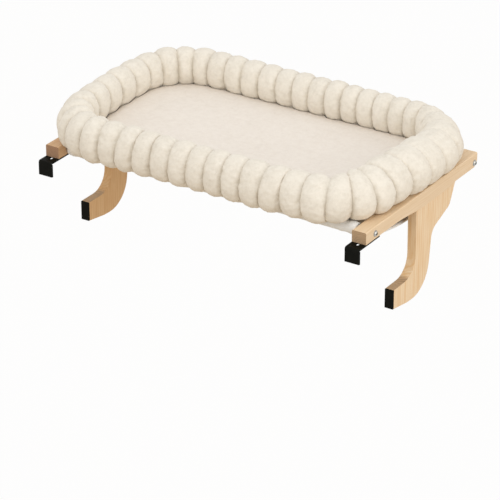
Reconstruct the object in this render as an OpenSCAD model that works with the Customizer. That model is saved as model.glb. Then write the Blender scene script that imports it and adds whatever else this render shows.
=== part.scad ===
// Window-sill pet hammock: two wooden side brackets, two steel cross tubes,
// a fabric sling sleeved on the tubes, and a cushion with a lobed bolster rim.
// X runs along the window, Y runs from the wall into the room, Z is up.
// The origin lies on the wall face and on the sill's top face, midway between the brackets.

/* [Brackets] */
// Width over the outer faces of the two arms
frame_w = 600; // [520:5:700]
// Width of an arm
arm_w = 25.4; // [22:0.2:30]
// Height of an arm at its front end
arm_h = 20; // [18:0.5:26]
// Length of an arm
arm_len = 349; // [330:1:400]
// Length of the arm that reaches over the sill, past the wall face
arm_reach = 89; // [86:1:110]
// How much deeper the arm gets towards the leg
belly_depth = 6.7; // [3:0.1:9]
// Length over which the arm gets deeper, from the wall face
belly_run = 92; // [60:1:110]
// How much deeper than its front end the arm is behind the leg
heel_depth = 3; // [1:0.1:5]
// Radius of the arm's lower rear corner
arm_tail_r = 12; // [6:0.5:14]
// Radius along the arm's upper long edges
arm_edge_r = 2; // [1:0.25:4]

/* [Legs] */
// Thickness of a leg board
leg_t = 15.3; // [12:0.1:18]
// Setback of the leg's outer face from the arm's outer face
leg_inset = 1.3; // [0.5:0.1:4]
// Distance from the wall face to the leg's front edge
throat_d = 67; // [55:1:80]
// Length of the leg's top, where it meets the arm
leg_top_len = 126; // [110:1:140]
// Width of the leg at half height
leg_waist = 52; // [40:1:62]
// Lean of the leg's front edge over its height
leg_lean = 2.5; // [0:0.5:6]
// Depth of the leg's shoulder, behind its sweep, under the sill's top face
shoulder_drop = 35; // [28:1:45]
// Depth of the bend between the sweep and the leg's rear edge
waist_drop = 56; // [50:1:75]
// Depth of the foot's lowest point under the sill's top face
foot_drop = 153; // [140:1:190]
// Height of the foot's end face
foot_h = 33; // [26:1:40]
// How much higher the sole lies at the foot's end than at the heel
foot_rise = 7; // [2:0.5:12]
// How far the heel's corner lies behind the leg's front edge
heel_back = 39; // [30:1:46]
// Radius of the inner bend above the foot
throat_r = 34; // [24:1:40]
// Radius of the outer bend at the heel
heel_r = 50; // [30:1:55]
// Radius of the bend at the waist
waist_r = 22; // [12:1:30]
// Radius of the bend at the shoulder
shoulder_r = 15; // [8:1:20]
// Thickness of the rubber pad on the foot's end face
foot_pad_t = 3; // [2:0.5:6]
// Diameter of the dowels between arm and leg
dowel_d = 8; // [6:1:9]
// Depth of a dowel in the arm
dowel_up = 13; // [10:1:16]
// Depth of a dowel in the leg
dowel_down = 17; // [14:1:30]

/* [Sill hooks] */
// Thickness of the hook plate
plate_t = 2.5; // [1.5:0.25:3.5]
// Length of the hook plate along the arm
plate_len = 62; // [58:1:72]
// Distance of the hook's front face ahead of the arm's front end
hook_reach = 21; // [15:1:26]
// Height of the hook plate, from its top face to its lower edge
hook_drop = 25; // [20:1:40]
// Thickness of the foam pad on the hook's grip face
hook_pad_t = 2; // [1:0.5:4]
// Width of the adjusting slot
slot_w = 5.4; // [5.2:0.1:6.5]
// Length of the adjusting slot, end to end
slot_len = 40; // [36:1:44]
// Distance from the hook's front face to the slot
slot_setback = 14; // [8:1:16]
// Distance between the two clamp screws
clamp_gap = 12; // [11:0.5:16]
// Diameter of a clamp screw
clamp_d = 5; // [4:0.5:5]
// Diameter of a clamp screw's flat head
clamp_head_d = 10; // [8:0.5:11]
// Thickness of a clamp screw's flat head
clamp_head_t = 2; // [1.5:0.25:3]
// Outer diameter of a threaded insert in the arm
insert_d = 6.5; // [6:0.25:8]
// Length of a threaded insert in the arm
insert_len = 9; // [6:0.5:11]

/* [Cross tubes] */
// Outer diameter of a cross tube
tube_d = 16; // [12:0.5:17]
// Wall of a cross tube
tube_wall = 1.2; // [0.8:0.1:2]
// Distance of the front tube from the arm's front end
front_tube_setback = 27.3; // [24:0.1:40]
// Distance of the rear tube from the arm's rear end
rear_tube_setback = 9; // [8.5:0.1:20]
// Height of the front tube's axis above the arm's underside there
front_tube_rise = 8.9; // [8:0.1:11]
// Height of the rear tube's axis above the arm's front underside
rear_tube_rise = 4.4; // [4:0.1:9]
// Diameter of the bolts through the arms
bolt_d = 6; // [5:0.5:7]
// Diameter of a bolt head
bolt_head_d = 10.5; // [9:0.5:13]
// Height of a bolt head
bolt_head_h = 3.3; // [2.5:0.1:5]
// Length of the threaded plug in a tube's end
plug_len = 22; // [18:1:40]
// Length of thread that a bolt has in its plug
bolt_grip = 16; // [10:1:17]

/* [Sling] */
// Thickness of the sling's cloth
cloth_t = 1.2; // [0.8:0.1:2]
// Depth that the sling hangs under the line of the tubes
sling_sag = 35; // [20:1:60]
// Gap between the sling's side edge and the arm
sling_side_gap = 4; // [2:0.5:10]
// Distance from a tube to the seam that closes its sleeve
sleeve_depth = 30; // [24:1:40]
// Height of the gathers in the cloth beside the arms
gather_h = 1.4; // [0:0.1:2.5]

/* [Cushion] */
// How far the cushion's rim reaches past the arms' outer faces
rim_over_side = 14.5; // [4:0.5:20]
// How far the rim reaches past the arms' front ends
rim_over_front = 30.5; // [20:0.5:40]
// How far the rim reaches past the arms' rear ends
rim_over_rear = 13.5; // [5:0.5:25]
// Width of the bolster rim
bolster_w = 53; // [44:1:56]
// Height of the bolster rim before it is pressed flat
bolster_h = 69; // [60:1:90]
// How far the rim sinks onto the arms
bolster_sink = 1; // [0:0.5:3]
// Radius of the rim's corners along the middle of the bolster
rim_corner_r = 92; // [80:1:110]
// Number of lobes in the rim
lobe_count = 48; // [40:4:56]
// Number of lobes in each side of the rim
side_lobes = 7; // [5:2:9]
// Size of the bolster at a seam, as a share of its full size
seam_ratio = 0.76; // [0.6:0.02:0.9]
// How far the centre pad tucks under the front and rear bolster
pad_tuck = 9.5; // [4:0.5:12]
// Height of the pad's edge seam above the arms
pad_edge_rise = 2.5; // [2:0.5:6]
// Thickness of the pad at its edge seam
pad_edge_t = 2.6; // [2:0.2:3]
// Crown of the pad's top above its edge seam
pad_crown = 8; // [4:0.5:12]
// How far the pad's middle dips into the sling
pad_dip = 5; // [0:0.5:8]
// Width of the hook-and-loop tape on the arm
tape_w = 16; // [10:1:20]
// Length of the hook-and-loop tape
tape_len = 80; // [40:1:120]
// Distance from the wall face to the tape
tape_start = 90; // [60:1:120]
// Thickness of the tape
tape_t = 1.2; // [0.8:0.1:2]

/* [Hidden] */

// Clearance between soft pieces and what they rest on
soft_gap = 0.3;
// Clearance of the pad over the sling, where both are bent
sling_gap = 0.5;
// Radial clearance of pins, screws and plugs
fit_gap = 0.05;
fine = 48;

// Places that several pieces share
arm_y0 = -arm_reach;
arm_y1 = arm_len - arm_reach;
arm_z0 = plate_t + clamp_head_t;
arm_z1 = arm_z0 + arm_h;
arm_inner_x = frame_w / 2 - arm_w;
arm_mid_x = frame_w / 2 - arm_w / 2;
leg_mid_x = frame_w / 2 - leg_inset - leg_t / 2;
leg_y0 = throat_d;
leg_y1 = throat_d + leg_top_len;
foot_z0 = foot_rise - foot_drop;
foot_z1 = foot_z0 + foot_h;
hook_y = arm_y0 - hook_reach;
slot_y0 = hook_y + slot_setback;
slot_y1 = slot_y0 + slot_len;
clamp_mid_y = (slot_y0 + slot_y1) / 2;
clamp_ys = [clamp_mid_y - clamp_gap / 2, clamp_mid_y + clamp_gap / 2];
front_tube_at = [arm_y0 + front_tube_setback, arm_z0 + front_tube_rise];
rear_tube_at = [arm_y1 - rear_tube_setback, arm_z0 + rear_tube_rise];
plug_d = tube_d - 2 * tube_wall - 2 * fit_gap;
// Dowels stand in a row where arm and leg meet, at these shares of the leg's top
dowel_shares = [0.2, 0.48, 0.76];
dowel_ys = [for (k = dowel_shares) leg_y0 + k * leg_top_len];
dowel_z = arm_z0 - belly_depth;
dowel_z0 = dowel_z - dowel_down;
dowel_z1 = dowel_z + dowel_up;
// Outer radius of the hook plate's bend
hook_bend_r = plate_t * 1.6;
// Width and depth of the hexagon sockets, as shares of the screw's diameter and of its head
clamp_socket_d = clamp_d * 0.6;
clamp_socket_t = clamp_head_t * 0.6;
bolt_socket_d = bolt_d * 0.77;
bolt_socket_t = bolt_head_h * 0.6;

// A smooth step from 0 to 1
function smooth(t) =
    let (c = min(1, max(0, t))) c * c * (3 - 2 * c);

// Depth that the arm has gained at distance y from the wall face
function belly(y) = y < (leg_y0 + leg_y1) / 2
    ? belly_depth * smooth(y / belly_run)
    : belly_depth + (heel_depth - belly_depth) * smooth((y - leg_y1 + belly_run / 3) / (belly_run / 3));

// Points of an arc that rounds corner b between its neighbours a and c
function fillet(a, b, c, r, steps = 8) = r == 0 ? [b] :
    let (
        u = (a - b) / norm(a - b),
        v = (c - b) / norm(c - b),
        half = acos(u * v) / 2,
        mid = b + (u + v) / norm(u + v) * r / sin(half),
        p = b + u * r / tan(half) - mid,
        q = b + v * r / tan(half) - mid,
        turn = acos(min(1, p * q / (r * r))),
        side = p[0] * q[1] - p[1] * q[0] > 0 ? 1 : -1
    )
    [for (k = [0 : steps]) let (g = side * turn * k / steps)
        mid + [p[0] * cos(g) - p[1] * sin(g), p[0] * sin(g) + p[1] * cos(g)]];

// An outline with its corners rounded, from corners given as [y, z, radius]
function rounded(corners) =
    let (n = len(corners))
    [for (i = [0 : n - 1])
        let (
            a = corners[(i + n - 1) % n],
            b = corners[i],
            c = corners[(i + 1) % n]
        )
        for (p = fillet([a[0], a[1]], [b[0], b[1]], [c[0], c[1]], b[2])) p];

// Turns a Y-Z outline into a board of thickness t centred on x
module board(x, t) {
    translate([x - t / 2, 0, 0])
        rotate([90, 0, 90])
            linear_extrude(t) children();
}

// A pin along X from x0 to x1 at the point [y, z]
module cross_pin(x0, x1, at, d) {
    translate([min(x0, x1), at[0], at[1]])
        rotate([0, 90, 0])
            cylinder(d = d, h = abs(x1 - x0), $fn = fine);
}

// An upright pin from z0 to z1
module upright_pin(x, y, z0, z1, d) {
    translate([x, y, z0])
        cylinder(d = d, h = z1 - z0, $fn = fine);
}

// Side outline of an arm
module arm_outline() {
    steps = 24;
    tail = fillet([leg_y1, arm_z0 - heel_depth], [arm_y1, arm_z0 - heel_depth],
                  [arm_y1, arm_z1], arm_tail_r);
    under = [for (k = [0 : steps]) let (y = leg_y1 * k / steps) [y, arm_z0 - belly(y)]];
    polygon(concat([[arm_y0, arm_z1], [arm_y0, arm_z0]], under, tail, [[arm_y1, arm_z1]]));
}

// Cross-section of an arm with its upper edges rounded, seen along Y
module arm_section() {
    low = arm_z0 - belly_depth - 1;
    hull() {
        for (x = [-1, 1])
            translate([x * (arm_w / 2 - arm_edge_r), arm_z1 - arm_edge_r])
                circle(r = arm_edge_r, $fn = fine);
        translate([-arm_w / 2, low])
            square([arm_w, 1]);
    }
}

module arm_blank(side) {
    intersection() {
        board(side * arm_mid_x, arm_w) arm_outline();
        translate([side * arm_mid_x, arm_y1 + 1, 0])
            rotate([90, 0, 0])
                linear_extrude(arm_len + 2) arm_section();
    }
}

module arm(side) {
    color("burlywood")
    difference() {
        arm_blank(side);
        for (at = [front_tube_at, rear_tube_at])
            cross_pin(side * (arm_inner_x - 1), side * (frame_w / 2 + 1), at, bolt_d + 2 * fit_gap);
        for (y = clamp_ys)
            upright_pin(side * arm_mid_x, y, arm_z0 - 1, arm_z0 + insert_len, insert_d + 2 * fit_gap);
        for (y = dowel_ys)
            upright_pin(side * leg_mid_x, y, arm_z0 - belly_depth - 1, dowel_z1 + fit_gap,
                        dowel_d + 2 * fit_gap);
    }
}

// Side outline of a leg: front edge, foot, sole, heel, waist, shoulder and the end under the arm
module leg_outline() {
    // The rear edge leans back up to the top's end; the sole's corners lie a little outside its curve
    top_z = arm_z0 + arm_h / 2;
    top_overhang = 5;
    shoulder_back = 19;
    sole_r = 30;
    sole_y = leg_y0 * 2 / 3;
    sole_z = 0.5 - foot_drop;
    heel_z = -2 - foot_drop;
    polygon(rounded([
        [leg_y0, top_z, 0],
        [leg_y0 + leg_lean, foot_z1, throat_r],
        [foot_pad_t, foot_z1, 0],
        [foot_pad_t, foot_z0, 0],
        [sole_y, sole_z, sole_r],
        [leg_y0 + heel_back, heel_z, heel_r],
        [leg_y0 + leg_waist, -waist_drop, waist_r],
        [leg_y1 - shoulder_back, -shoulder_drop, shoulder_r],
        [leg_y1 + top_overhang, top_z, 0],
    ]));
}

module leg(side) {
    color("wheat")
    difference() {
        board(side * leg_mid_x, leg_t) leg_outline();
        board(side * arm_mid_x, arm_w + 2) arm_outline();
        for (y = dowel_ys)
            upright_pin(side * leg_mid_x, y, dowel_z0 - fit_gap, arm_z1, dowel_d + 2 * fit_gap);
    }
}

module dowels(side) {
    color("tan")
    for (y = dowel_ys)
        upright_pin(side * leg_mid_x, y, dowel_z0, dowel_z1, dowel_d);
}

// Rubber pad that meets the wall
module foot_pad(side) {
    color([0.08, 0.08, 0.08])
    translate([side * leg_mid_x - leg_t / 2, 0, foot_z0])
        cube([leg_t, foot_pad_t, foot_h]);
}

// Side outline of the bent hook plate
module hook_outline() {
    y1 = hook_y + plate_len;
    z0 = arm_z0 - hook_drop;
    inner_y = hook_y + plate_t;
    inner_z = arm_z0 - plate_t;
    polygon(rounded([
        [hook_y, z0, 0],
        [inner_y, z0, 0],
        [inner_y, inner_z, hook_bend_r - plate_t],
        [y1, inner_z, 0],
        [y1, arm_z0, 0],
        [hook_y, arm_z0, hook_bend_r],
    ]));
}

module slot_cut(x) {
    for (y = [slot_y0 + slot_w / 2, slot_y1 - slot_w / 2])
        upright_pin(x, y, arm_z0 - plate_t - 1, arm_z0 + 1, slot_w);
    translate([x - slot_w / 2, slot_y0 + slot_w / 2, arm_z0 - plate_t - 1])
        cube([slot_w, slot_len - slot_w, plate_t + 2]);
}

module hook_plate(side) {
    color([0.1, 0.1, 0.1])
    difference() {
        board(side * arm_mid_x, arm_w) hook_outline();
        slot_cut(side * arm_mid_x);
    }
}

// Foam pad glued to the face that grips the sill; it ends under the bend and a lip shows below
module hook_pad(side) {
    lip = 0.8;
    z0 = arm_z0 - hook_drop - lip;
    z1 = arm_z0 - hook_bend_r;
    color([0.15, 0.15, 0.15])
    translate([side * arm_mid_x - arm_w / 2, hook_y + plate_t, z0])
        cube([arm_w, hook_pad_t, z1 - z0]);
}

// Clamp screws: flat heads under the plate, shanks up through the slot into the inserts
module clamp_screws(side) {
    tip_gap = 1;
    color("silver")
    for (y = clamp_ys)
        difference() {
            union() {
                upright_pin(side * arm_mid_x, y, 0, clamp_head_t, clamp_head_d);
                upright_pin(side * arm_mid_x, y, clamp_head_t / 2, arm_z0 + insert_len - tip_gap, clamp_d);
            }
            translate([side * arm_mid_x, y, -1])
                cylinder(d = clamp_socket_d, h = 1 + clamp_socket_t, $fn = 6);
        }
}

module clamp_inserts(side) {
    color("gold")
    for (y = clamp_ys)
        difference() {
            upright_pin(side * arm_mid_x, y, arm_z0, arm_z0 + insert_len - fit_gap, insert_d);
            upright_pin(side * arm_mid_x, y, arm_z0 - 1, arm_z0 + insert_len + 1, clamp_d + 2 * fit_gap);
        }
}

module cross_tube(at) {
    color("silver")
    difference() {
        cross_pin(-arm_inner_x, arm_inner_x, at, tube_d);
        cross_pin(-arm_inner_x - 1, arm_inner_x + 1, at, tube_d - 2 * tube_wall);
    }
}

module tube_plugs(at) {
    color("gray")
    for (side = [-1, 1])
        difference() {
            cross_pin(side * arm_inner_x, side * (arm_inner_x - plug_len), at, plug_d);
            cross_pin(side * (arm_inner_x + 1), side * (arm_inner_x - plug_len - 1), at,
                      bolt_d + 2 * fit_gap);
        }
}

// Bolt with a domed head on the arm's outer face
module tube_bolt(side, at) {
    head_r = (bolt_head_d * bolt_head_d / 4 + bolt_head_h * bolt_head_h) / (2 * bolt_head_h);
    translate([side * frame_w / 2, at[0], at[1]])
        rotate([0, side * 90, 0])
            difference() {
                union() {
                    intersection() {
                        translate([0, 0, bolt_head_h - head_r])
                            sphere(r = head_r, $fn = fine);
                        cylinder(d = bolt_head_d, h = bolt_head_h, $fn = fine);
                    }
                    translate([0, 0, -arm_w - bolt_grip])
                        cylinder(d = bolt_d, h = arm_w + bolt_grip + bolt_head_h / 10, $fn = fine);
                }
                translate([0, 0, bolt_head_h - bolt_socket_t])
                    cylinder(d = bolt_socket_d, h = bolt_socket_t + 1, $fn = 6);
            }
}

module tube_bolts(side) {
    color("silver")
    for (at = [front_tube_at, rear_tube_at])
        tube_bolt(side, at);
}

module hook_tape(side) {
    color([0.05, 0.05, 0.05])
    translate([side * arm_mid_x - tape_w / 2, tape_start, arm_z1])
        cube([tape_w, tape_len, tape_t]);
}

// Sling: the middle line of its cloth runs round both tubes and hangs between them
sleeve_r = tube_d / 2 + soft_gap + cloth_t / 2;
web_mid_y = (front_tube_at[0] + rear_tube_at[0]) / 2;
web_half = (rear_tube_at[0] - front_tube_at[0]) / 2;

function web_z(y) =
    let (t = (y - web_mid_y) / web_half,
         chord = (front_tube_at[1] + rear_tube_at[1]) / 2 + t * (rear_tube_at[1] - front_tube_at[1]) / 2)
    chord - sleeve_r - sling_sag * (1 - t * t);

// Seam that closes the sleeve about a tube, from the tube's axis;
// dir is 1 at the front tube and -1 at the rear tube
function seam_from(at, dir) =
    [sleeve_depth, web_z(at[0] + dir * sleeve_depth) + cloth_t + soft_gap - at[1]];

// Angle on a circle of radius r about a tube where a line from the seam touches it
function seam_angle(at, dir, r) =
    let (seam = seam_from(at, dir))
    atan2(seam[1], seam[0]) + acos(r / norm(seam));

// Sleeve path about a tube, from the seam over the tube to the angle where the cloth leaves it below
function sleeve_path(at, dir, grow) =
    let (
        r = sleeve_r + grow,
        seam = seam_from(at, dir),
        start = seam_angle(at, dir, r),
        steps = 9,
        leave = 253
    )
    concat(
        [[at[0] + dir * seam[0], at[1] + seam[1]]],
        [for (k = [0 : steps])
            let (a = start + (leave - start) * k / steps)
            [at[0] + dir * r * cos(a), at[1] + r * sin(a)]]
    );

// Height that a pad on the sling keeps to at y: level with a tube's sleeve, down along the sleeve's
// slope at a distance of ease from it, or on the hanging part
function sling_top(y, ease) =
    let (
        front = y < web_mid_y,
        dir = front ? 1 : -1,
        at = front ? front_tube_at : rear_tube_at,
        e = dir * (y - at[0]),
        r = sleeve_r + cloth_t / 2,
        a = seam_angle(at, dir, r),
        slope = (r - (e - ease) * cos(a)) / sin(a),
        hanging = web_z(y) + cloth_t / 2
    )
    e > sleeve_depth + ease ? max(at[1] + slope, hanging) : at[1] + min(r, slope);

function web_path(ripple) =
    let (steps = 16, lead = sleeve_r * 0.8)
    [for (k = [0 : steps])
        let (
            y = front_tube_at[0] + lead + (2 * web_half - 2 * lead) * k / steps,
            swell = sin(180 * k / steps)
        )
        [y, web_z(y) + ripple * swell]];

function reverse(list) = [for (i = [len(list) - 1 : -1 : 0]) list[i]];

function sling_path(grow, ripple) = concat(
    sleeve_path(front_tube_at, 1, grow),
    web_path(ripple),
    reverse(sleeve_path(rear_tube_at, -1, grow))
);

// A path widened to the cloth's thickness, as one closed outline
function thick(path) =
    let (
        n = len(path),
        normals = [for (i = [0 : n - 1])
            let (d = path[min(n - 1, i + 1)] - path[max(0, i - 1)])
            [-d[1], d[0]] / norm(d)]
    )
    concat(
        [for (i = [0 : n - 1]) path[i] + normals[i] * cloth_t / 2],
        [for (i = [n - 1 : -1 : 0]) path[i] - normals[i] * cloth_t / 2]
    );

sling_half = arm_inner_x - sling_side_gap;
sling_xs = [for (d = [0, 8, 17, 27, 38, 60, sling_half * 0.6]) sling_half - d];
// Gathers beside the arms: distance from one to the next, how far they reach and where they would fade out
gather_pitch = 19.6;
gather_reach = 45;
gather_fade = 60;
function gather(d) = d < gather_reach
    ? gather_h * pow(sin(180 * d / gather_pitch), 2) * (1 - d / gather_fade)
    : 0;

module sling() {
    xs = concat([for (x = sling_xs) -x], reverse(sling_xs));
    rings = [for (x = xs)
        let (g = gather(sling_half - abs(x)))
        [for (p = thick(sling_path(g, -g))) [x, p[0], p[1]]]];
    color([0.85, 0.83, 0.8])
    sheet(rings);
}

// Closed solid through equal outlines, capped by strips because each outline is a thin band
module sheet(rings) {
    n = len(rings[0]);
    m = len(rings);
    half = n / 2;
    points = [for (ring = rings) for (p = ring) p];
    wall = [for (j = [0 : m - 2]) for (i = [0 : n - 1])
        let (a = j * n + i, b = j * n + (i + 1) % n)
        for (t = [[a, b, b + n], [a, b + n, a + n]]) t];
    strip = [for (i = [0 : half - 2])
        for (t = [[i, n - 1 - i, i + 1], [i + 1, n - 1 - i, n - 2 - i]]) t];
    last = (m - 1) * n;
    end = [for (t = strip) [t[2] + last, t[1] + last, t[0] + last]];
    polyhedron(points = points, faces = concat(wall, strip, end));
}

// Middle line of the cushion's rim: a rounded rectangle, walked counter-clockwise
rim_half_x = frame_w / 2 + rim_over_side - bolster_w / 2;
rim_y0 = arm_y0 - rim_over_front + bolster_w / 2;
rim_y1 = arm_y1 + rim_over_rear - bolster_w / 2;
rim_half_y = (rim_y1 - rim_y0) / 2;
rim_mid_y = (rim_y0 + rim_y1) / 2;
seat_z = arm_z1 + tape_t + soft_gap;
bolster_z = arm_z1 + bolster_h / 2 - bolster_sink;

function loop_length(hx, hy, r) = 4 * (hx - r) + 4 * (hy - r) + 2 * PI * r;

// Point and outward direction at length s along a rounded rectangle, from its front middle
function loop_at(s, hx, hy, r) =
    let (
        total = loop_length(hx, hy, r),
        w = ((s % total) + total) % total,
        ax = hx - r,
        ay = hy - r,
        arc = PI * r / 2,
        right = w <= total / 2,
        v = right ? w : total - w,
        lower = v <= total / 4,
        q = lower ? v : total / 2 - v,
        // q runs from the row's middle, round the corner, to the side's middle
        angle = q <= ax ? 0 : q <= ax + arc ? 90 * (q - ax) / arc : 90,
        x = q <= ax ? q : ax + r * sin(angle),
        y = q <= ax + arc ? -ay - r * cos(angle) : -ay + (q - ax - arc),
        sx = right ? 1 : -1,
        sy = lower ? 1 : -1
    )
    [[sx * x, sy * y], [sx * sin(angle), -sy * cos(angle)]];

lobe_pitch = loop_length(rim_half_x, rim_half_y, rim_corner_r) / lobe_count;
lobe_sides = 12;
// How far inside the arms the rim's underside is already pressed flat
rest_margin = 6;
lobe_steps = [0, 0.18, 0.5, 0.82];

// Share of the full size at fraction t across a lobe
function puff(t) = seam_ratio + (1 - seam_ratio) * sqrt(max(0, 1 - pow(2 * t - 1, 2)));

function bolster_ring(s, k) =
    let (
        at = loop_at(s, rim_half_x, rim_half_y, rim_corner_r),
        p = at[0],
        out = at[1]
    )
    [for (i = [0 : lobe_sides - 1])
        let (
            a = 360 * (i + 0.5) / lobe_sides,
            d = bolster_w / 2 * k * cos(a),
            x = p[0] + out[0] * d,
            z = bolster_z + bolster_h / 2 * k * sin(a),
            rests = abs(x) > arm_inner_x - rest_margin
        )
        [x, rim_mid_y + p[1] + out[1] * d, rests ? max(z, seat_z) : z]];

// Lobes first to first + count - 1 of the rim; lobe 0 lies at the front middle
module bolster(first, count) {
    stations = concat(
        [for (i = [0 : count - 1]) for (t = lobe_steps) [first + i - 0.5 + t, puff(t)]],
        [[first + count - 0.5, seam_ratio]]
    );
    color([0.93, 0.89, 0.82])
    tube([for (st = stations) bolster_ring(st[0] * lobe_pitch, st[1])]);
}

// Mean point of a ring
function middle(ring) = [for (p = ring) 1] * ring / len(ring);

// Closed solid through equal rings, each end capped by a fan about its middle.
// With mirrored set, both halves of the rings have their facets split as in a mirror
module tube(rings, mirrored = false) {
    n = len(rings[0]);
    m = len(rings);
    points = concat([for (ring = rings) for (p = ring) p], [middle(rings[0]), middle(rings[m - 1])]);
    last = (m - 1) * n;
    wall = [for (j = [0 : m - 2]) for (i = [0 : n - 1])
        let (a = j * n + i, b = j * n + (i + 1) % n, flip = mirrored && i < n / 2)
        for (t = flip ? [[a, a + n, b], [b, a + n, b + n]] : [[a, a + n, b + n], [a, b + n, b]]) t];
    caps = [for (i = [0 : n - 1])
        let (k = (i + 1) % n)
        for (t = [[m * n, i, k], [m * n + 1, last + k, last + i]]) t];
    polyhedron(points = points, faces = concat(wall, caps));
}

row_lobes = lobe_count / 2 - side_lobes;
row_first = -(row_lobes - 1) / 2;
side_first = row_first + row_lobes;

// Centre pad: crowned above, and bellied below until it lies in the sling, which is as wide
pad_half_x = sling_half;
pad_half_y = rim_half_y - bolster_w / 2 + pad_tuck;
pad_corner_r = rim_corner_r - bolster_w / 2 + pad_tuck;
pad_edge_z = arm_z1 + pad_edge_rise;
pad_around = 48;
// Power of the crown's curve, which sets how square the pad's upper edge is
pad_squareness = 24;
// Share of the pad's half size over which its side draws in below, and where its top begins to dip
pad_side_share = 0.15;
pad_dip_share = 0.87;
// How far the pad's underside keeps off the sleeves' slopes
pad_ease = 4;

function pad_top(u) =
    pad_edge_z + pad_edge_t / 2 + (pad_crown - pad_edge_t / 2) * (1 - pow(u, pad_squareness))
    - pad_dip * smooth(1 - u / pad_dip_share);

// A quarter of a round, from 0 to 1
function bulge(t) =
    let (c = 1 - min(1, max(0, t))) sqrt(1 - c * c);

function pad_under(y, u) =
    let (
        edge = pad_edge_z - pad_edge_t / 2,
        floor_z = min(edge, sling_top(y, pad_ease) + sling_gap)
    )
    edge + (floor_z - edge) * bulge((1 - u) / pad_side_share);

function pad_ring(u, above) =
    let (total = loop_length(pad_half_x, pad_half_y, pad_corner_r))
    [for (i = [0 : pad_around - 1])
        let (
            p = loop_at(total * i / pad_around, pad_half_x, pad_half_y, pad_corner_r)[0] * u,
            y = rim_mid_y + p[1]
        )
        [p[0], y, above ? pad_top(u) : pad_under(y, u)]];

module centre_pad() {
    above = [0.02, 0.3, 0.55, 0.75, 0.88, 0.94, 0.98, 1];
    below = [1, 0.97, 0.92, 0.85, 0.77, 0.68, 0.5, 0.28, 0.02];
    color([0.92, 0.88, 0.84])
    tube(concat(
        [for (u = above) pad_ring(u, true)],
        [for (u = below) pad_ring(u, false)]
    ), mirrored = true);
}

arm(-1);  // left_arm
arm(1);  // right_arm
leg(-1);  // left_leg
leg(1);  // right_leg
dowels(-1);  // left_dowels
dowels(1);  // right_dowels
foot_pad(-1);  // left_foot_pad
foot_pad(1);  // right_foot_pad
hook_plate(-1);  // left_hook_plate
hook_plate(1);  // right_hook_plate
hook_pad(-1);  // left_hook_pad
hook_pad(1);  // right_hook_pad
clamp_screws(-1);  // left_clamp_screws
clamp_screws(1);  // right_clamp_screws
clamp_inserts(-1);  // left_clamp_inserts
clamp_inserts(1);  // right_clamp_inserts
cross_tube(front_tube_at);  // front_tube
cross_tube(rear_tube_at);  // rear_tube
tube_plugs(front_tube_at);  // front_tube_plugs
tube_plugs(rear_tube_at);  // rear_tube_plugs
tube_bolts(-1);  // left_tube_bolts
tube_bolts(1);  // right_tube_bolts
hook_tape(-1);  // left_hook_tape
hook_tape(1);  // right_hook_tape
sling();
centre_pad();
bolster(row_first, row_lobes);  // front_bolster
bolster(row_first + lobe_count / 2, row_lobes);  // rear_bolster
bolster(side_first, side_lobes);  // right_bolster
bolster(side_first + lobe_count / 2, side_lobes);  // left_bolster
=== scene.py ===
# %% [markdown]
# # A cat hammock for a window sill
#
# The real thing is a pair of pine brackets that hook over a window sill, two steel tubes between
# them, a cloth sling that hangs on the tubes, and a plush cushion with a rim of round lobes.
# Its hard parts come ready-made from a CAD model, which is the fixed frame here. This lesson gives
# each of them a finish made of shader nodes, rounds the edges that a hand would have sanded, and
# builds the soft parts as cloth. All lengths are in metres, X runs along the window, Y from the
# wall into the room, and Z up.

# %% Load the frame
import math

import bmesh
import bpy
import numpy as np
from mathutils.bvhtree import BVHTree
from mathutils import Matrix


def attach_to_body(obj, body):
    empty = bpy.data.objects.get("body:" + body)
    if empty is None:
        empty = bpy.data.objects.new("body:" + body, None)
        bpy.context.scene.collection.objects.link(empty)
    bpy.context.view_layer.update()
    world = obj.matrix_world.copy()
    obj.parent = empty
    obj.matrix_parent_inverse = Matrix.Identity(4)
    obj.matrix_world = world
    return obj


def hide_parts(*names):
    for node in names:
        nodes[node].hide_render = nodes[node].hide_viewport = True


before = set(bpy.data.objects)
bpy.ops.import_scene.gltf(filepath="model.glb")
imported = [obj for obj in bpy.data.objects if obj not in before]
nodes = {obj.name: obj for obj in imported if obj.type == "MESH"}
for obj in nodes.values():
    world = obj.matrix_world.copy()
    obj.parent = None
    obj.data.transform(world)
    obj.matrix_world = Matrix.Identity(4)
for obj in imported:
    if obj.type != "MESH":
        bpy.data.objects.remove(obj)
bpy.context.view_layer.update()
scene = bpy.context.scene
scene.view_settings.view_transform = "Standard"

# %% Measures and a helper
MM = 0.001
# Y and Z of each tube's axis, as in the CAD model.
TUBE_FRONT = np.array([-0.0617, 0.0134])
TUBE_REAR = np.array([0.251, 0.0089])


def placed(name, data):
    """A new object in the scene, made from a mesh, a lamp or a camera."""
    piece = bpy.data.objects.new(name, data)
    scene.collection.objects.link(piece)
    return piece


# %% [markdown]
# ## The camera
#
# The photograph was taken from the front right and a little above, from far away with a long lens,
# so that the hammock's parallel edges stay nearly parallel. Its place and lens were solved from the
# edges of the two brackets. A long lens could be faked with an orthographic camera, but then
# the near bracket would not look larger than the far one, as it does in the picture.

# %% Camera
CAMERA_PLACE = (2.29508, -3.52262, 1.99336)
DEGREES_DOWN = 26.7143
DEGREES_TURNED = 32.6971

camera_lens = bpy.data.cameras.new("camera")
camera_lens.sensor_width = 36
camera_lens.lens = 210.848
camera_lens.clip_end = 100
camera = placed("camera", camera_lens)
camera.location = CAMERA_PLACE
camera.rotation_euler = (math.radians(90 - DEGREES_DOWN), 0, math.radians(DEGREES_TURNED))
scene.camera = camera
print("camera", round(camera.location.length, 2), "m away")

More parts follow.
